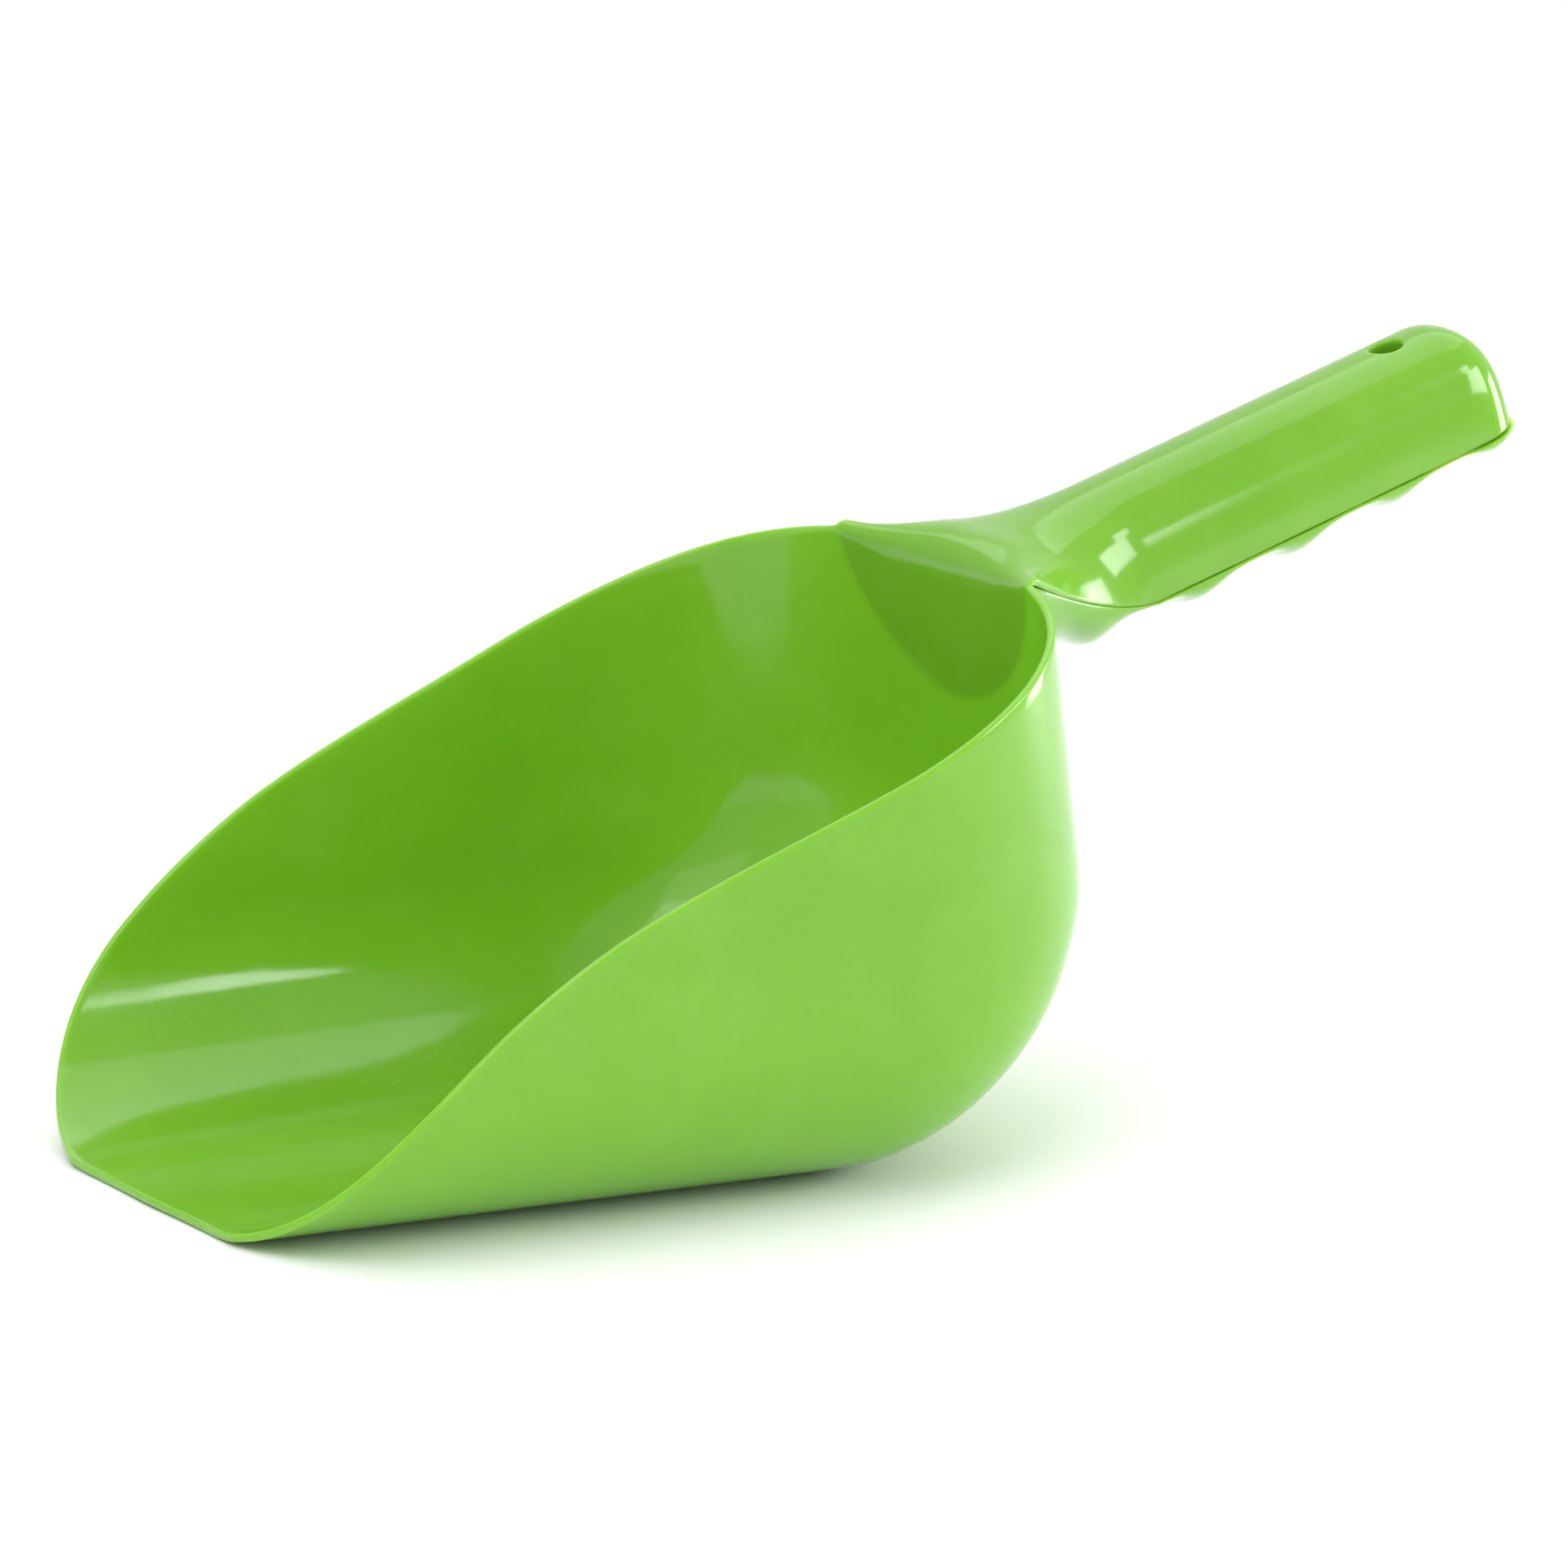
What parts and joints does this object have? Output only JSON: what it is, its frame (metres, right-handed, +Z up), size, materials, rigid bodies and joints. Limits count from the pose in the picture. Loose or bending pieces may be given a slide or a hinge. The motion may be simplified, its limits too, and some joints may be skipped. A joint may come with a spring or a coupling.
{
  "type": "potting scoop",
  "caption": "Deep round-backed plastic potting scoop with a sloped rim, a rising hollow handle, finger grooves underneath and a hang hole near the butt.",
  "frame": {"origin": "centre of the overall footprint, on the plane that the keel rests on", "axes": "+X from the lip towards the butt of the handle, +Y across the bowl, +Z up"},
  "size_m": [0.3038, 0.146, 0.1421],
  "materials": {
    "body_plastic": "glossy injection-moulded polypropylene, lime green",
    "grip_plastic": "glossy injection-moulded polypropylene, lime green"
  },
  "bodies": {
    "root": {"scoop_body": "body_plastic", "grip_underside": "grip_plastic"}
  },
  "joints": []
}
